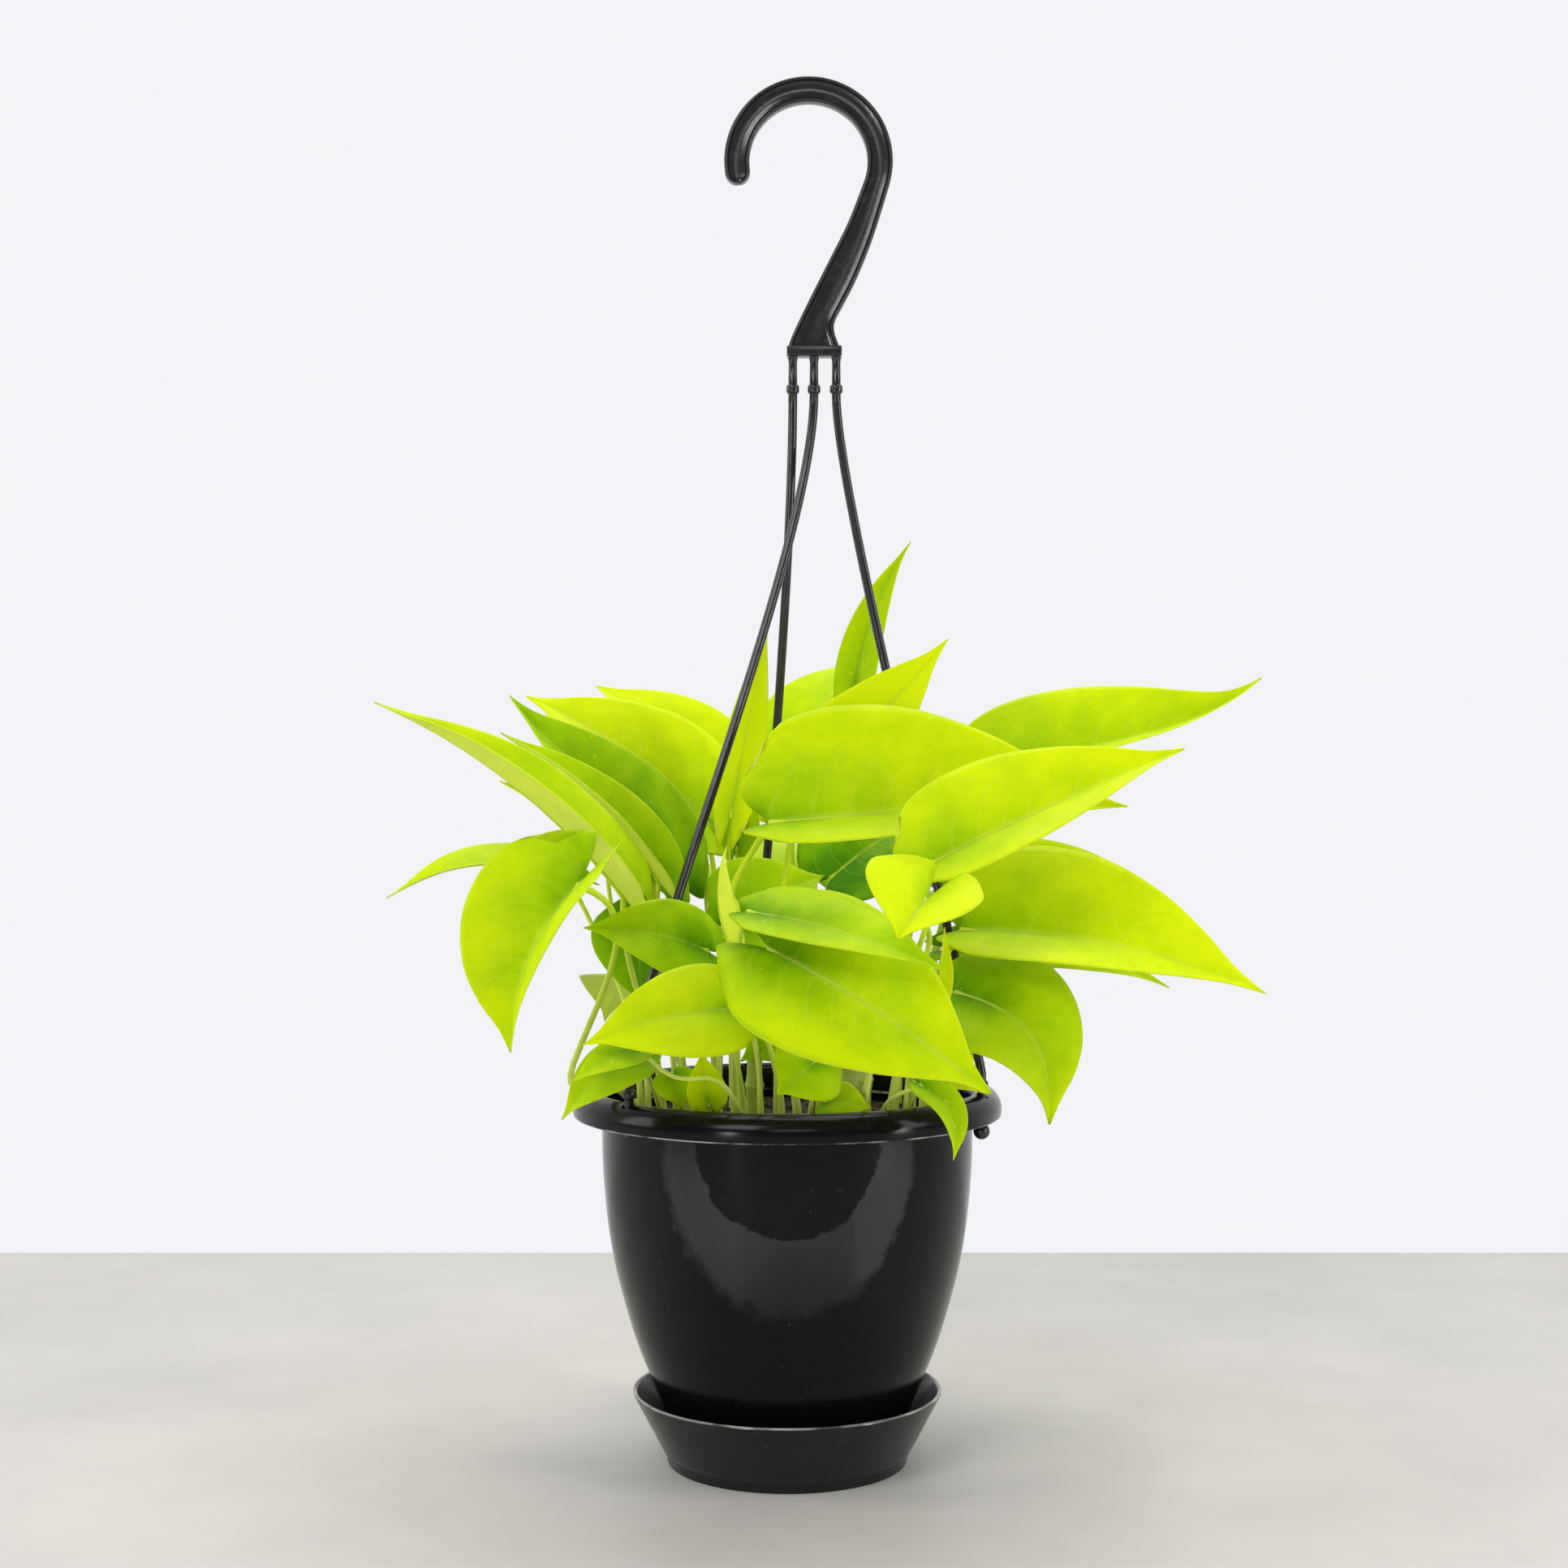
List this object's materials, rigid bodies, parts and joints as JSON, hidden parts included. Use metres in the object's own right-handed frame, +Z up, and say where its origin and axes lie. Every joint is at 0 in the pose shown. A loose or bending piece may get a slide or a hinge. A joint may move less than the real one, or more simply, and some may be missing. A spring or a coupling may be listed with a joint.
{
  "type": "potted pothos plant",
  "caption": "Leafy golden pothos with heart-shaped leaves on long stalks, growing in a round black plastic hanging pot with a drip saucer and a three-strand hook hanger.",
  "frame": {"origin": "centre of the saucer's flat underside, which rests on the table", "axes": "+Z up towards the hanger's hook, -Y towards the front of the plant, +X to the right seen from the front"},
  "size_m": [0.3505, 0.2881, 0.5468],
  "materials": {
    "pot_plastic": "high gloss black, moulded",
    "hanger_plastic": "satin black, moulded",
    "potting_soil": "loose, damp and matte",
    "leaf": "smooth waxy leaf, yellow-green",
    "stem": "smooth living stem, pale green"
  },
  "bodies": {
    "root": {"saucer": "pot_plastic", "pot": "pot_plastic", "potting_soil": "potting_soil", "hanger_hook": "hanger_plastic", "hanger_strand_left": "hanger_plastic", "hanger_strand_right": "hanger_plastic", "hanger_strand_back": "hanger_plastic", "vine_stem_left": "stem", "vine_stem_middle": "stem", "vine_stem_right": "stem", "leaf_left_long": "leaf", "leaf_left_nested": "leaf", "leaf_left_broad": "leaf", "leaf_left_hanging": "leaf", "leaf_left_bright": "leaf", "leaf_left_top": "leaf", "leaf_upright_gold": "leaf", "leaf_behind_gold": "leaf", "leaf_far_left": "leaf", "leaf_left_tucked": "leaf", "leaf_left_level": "leaf", "leaf_left_shaded": "leaf", "leaf_centre_big": "leaf", "leaf_centre_gold": "leaf", "leaf_top_upright": "leaf", "leaf_top_back": "leaf", "leaf_centre_back": "leaf", "leaf_centre_inner": "leaf", "leaf_centre_slim": "leaf", "leaf_front_upper": "leaf", "leaf_front_big": "leaf", "leaf_front_left": "leaf", "leaf_right_front": "leaf", "leaf_right_far": "leaf", "leaf_young_cupped": "leaf", "leaf_right_sweep": "leaf", "leaf_right_behind": "leaf", "leaf_right_slim": "leaf", "leaf_right_tucked": "leaf", "leaf_right_hanging": "leaf", "leaf_right_small": "leaf", "leaf_right_spike": "leaf", "leaf_low_heart": "leaf", "leaf_low_front": "leaf", "leaf_low_left": "leaf", "leaf_low_upright": "leaf", "leaf_lip_left_upper": "leaf", "leaf_lip_left": "leaf", "leaf_lip_gold": "leaf", "leaf_lip_right": "leaf", "leaf_low_inner": "leaf", "leaf_low_back_right": "leaf", "leaf_back_left": "leaf", "leaf_back": "leaf", "leaf_back_right": "leaf", "leaf_back_right_side": "leaf", "leaf_back_low_left": "leaf", "leaf_back_low_right": "leaf"}
  },
  "joints": []
}
